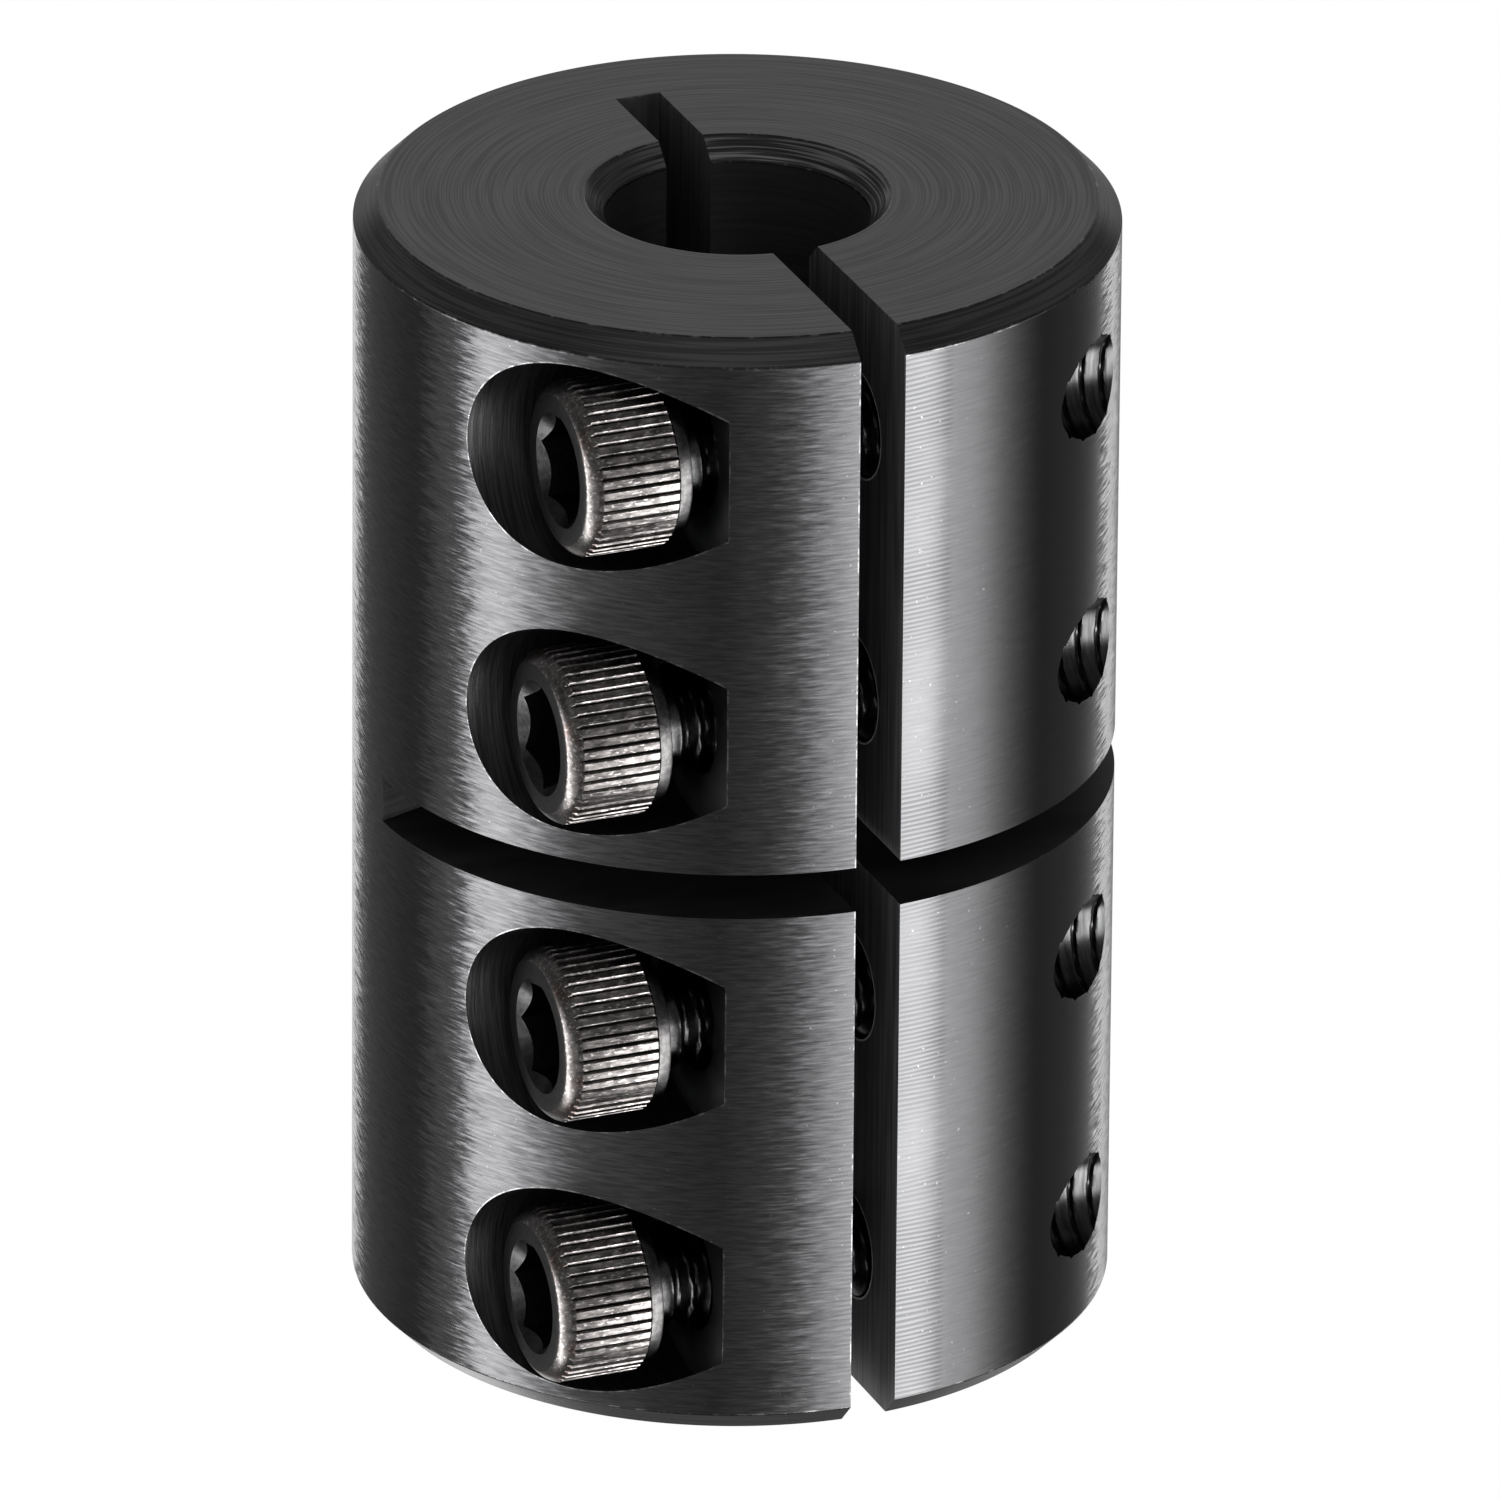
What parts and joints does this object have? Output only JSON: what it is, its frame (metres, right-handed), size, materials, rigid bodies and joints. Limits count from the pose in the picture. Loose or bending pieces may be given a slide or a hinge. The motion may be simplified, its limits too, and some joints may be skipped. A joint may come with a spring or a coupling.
{
  "type": "rigid shaft coupling",
  "caption": "Rigid clamping shaft coupling: a slit steel sleeve with a through bore and a cross slot, closed on both shaft ends by socket head cap screws in side pockets.",
  "frame": {"origin": "centre of the lower end face, on the bore's axis", "axes": "+Z along the bore's axis towards the other end; the long slit opens towards -Y; the screws lie along X with their heads on the -X side"},
  "size_m": [0.029, 0.029, 0.045],
  "materials": {
    "sleeve_steel": "turned and black oxided, satin, with fine tool lines and bright burrs at the slot edges",
    "screw_steel": "black oxided alloy steel, knurled, with the oxide worn bright on the crests"
  },
  "bodies": {
    "sleeve": {"coupling_sleeve": "sleeve_steel"},
    "screw_1": {"cap_screw_1": "screw_steel"},
    "screw_2": {"cap_screw_2": "screw_steel"},
    "screw_3": {"cap_screw_3": "screw_steel"},
    "screw_4": {"cap_screw_4": "screw_steel"}
  },
  "joints": [
    {"name": "screw_1_travel", "type": "slide", "parent": "sleeve", "child": "screw_1", "axis": [1, 0, 0], "range_m": [-0.00474, 0.00133]},
    {"name": "screw_2_travel", "type": "slide", "parent": "sleeve", "child": "screw_2", "axis": [1, 0, 0], "range_m": [-0.00401, 0.00206]},
    {"name": "screw_3_travel", "type": "slide", "parent": "sleeve", "child": "screw_3", "axis": [1, 0, 0], "range_m": [-0.00403, 0.00204]},
    {"name": "screw_4_travel", "type": "slide", "parent": "sleeve", "child": "screw_4", "axis": [1, 0, 0], "range_m": [-0.0038, 0.00227]}
  ]
}
